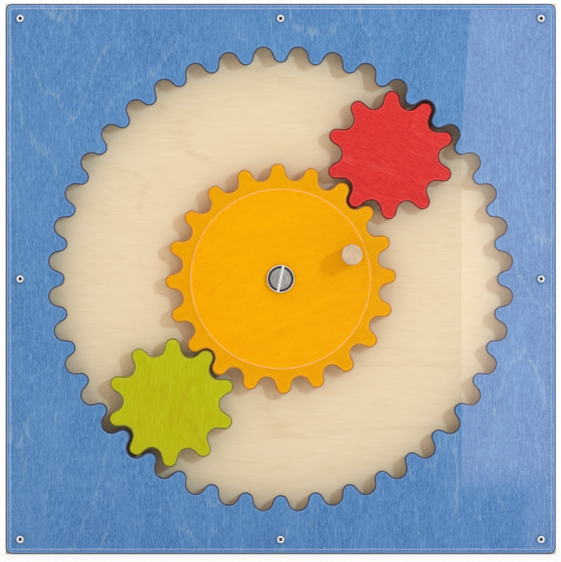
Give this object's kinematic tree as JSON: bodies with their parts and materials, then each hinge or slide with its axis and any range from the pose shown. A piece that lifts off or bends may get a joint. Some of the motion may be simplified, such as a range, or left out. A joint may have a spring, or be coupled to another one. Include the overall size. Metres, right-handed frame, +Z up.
{
  "type": "gear activity wall panel",
  "caption": "Square wooden wall panel for play: a hand-turned sun wheel drives two loose planet wheels round a toothed ring behind a clear cover with a hand hole.",
  "frame": {"origin": "centre of the back board's rear face, on the axle's line", "axes": "+Y points out of the back face into the wall, -Y out of the front towards the child, +X to the right as seen from the front, +Z up"},
  "size_m": [0.4, 0.051, 0.4],
  "materials": {
    "birch_ply": "clear satin lacquer on natural birch plywood",
    "blue_ply": "blue stain with satin lacquer, grain showing through",
    "clear_sheet": "clear acrylic with polished edges",
    "screw_steel": "bright zinc plate",
    "insert_brass": "plain brass",
    "turned_steel": "lathe-turned steel with fine rings",
    "glide_plastic": "natural white low-friction plastic",
    "orange_ply": "orange stain with satin lacquer",
    "beech": "natural beech, end grain showing",
    "red_ply": "red stain with satin lacquer",
    "green_ply": "yellow-green stain with satin lacquer"
  },
  "bodies": {
    "panel": {"back_board": "birch_ply", "ring_board": "blue_ply", "cover_sheet": "clear_sheet", "cover_screws": "screw_steel", "board_screws": "screw_steel", "wall_inserts": "insert_brass", "axle_sleeve": "turned_steel", "axle_bolt": "screw_steel", "axle_washer": "screw_steel", "thrust_washer": "glide_plastic", "bolt_washer": "screw_steel", "lock_washer": "screw_steel"},
    "sun": {"sun_gear": "orange_ply", "sun_bush": "glide_plastic", "turning_peg": "beech", "peg_screw": "screw_steel"},
    "red_carrier": {"red_glide": "glide_plastic"},
    "red_wheel": {"red_planet": "red_ply"},
    "green_carrier": {"green_glide": "glide_plastic"},
    "green_wheel": {"green_planet": "green_ply"}
  },
  "joints": [
    {"name": "sun_spin", "type": "hinge", "parent": "panel", "child": "sun", "pos_m": [0, 0, 0], "axis": [0, -1, 0], "continuous": true},
    {"name": "red_orbit", "type": "hinge", "parent": "panel", "child": "red_carrier", "pos_m": [0, 0, 0], "axis": [0, -1, 0], "continuous": true},
    {"name": "red_spin", "type": "hinge", "parent": "red_carrier", "child": "red_wheel", "pos_m": [0.07951, 0, 0.08987], "axis": [0, -1, 0], "continuous": true},
    {"name": "green_orbit", "type": "hinge", "parent": "panel", "child": "green_carrier", "pos_m": [0, 0, 0], "axis": [0, -1, 0], "continuous": true},
    {"name": "green_spin", "type": "hinge", "parent": "green_carrier", "child": "green_wheel", "pos_m": [-0.07951, 0, -0.08987], "axis": [0, -1, 0], "continuous": true}
  ],
  "couplings": [
    {"joint": "red_orbit", "follows": "sun_spin", "ratio": 0.33333},
    {"joint": "red_spin", "follows": "sun_spin", "ratio": -1.3333},
    {"joint": "green_orbit", "follows": "sun_spin", "ratio": 0.33333},
    {"joint": "green_spin", "follows": "sun_spin", "ratio": -1.3333}
  ]
}
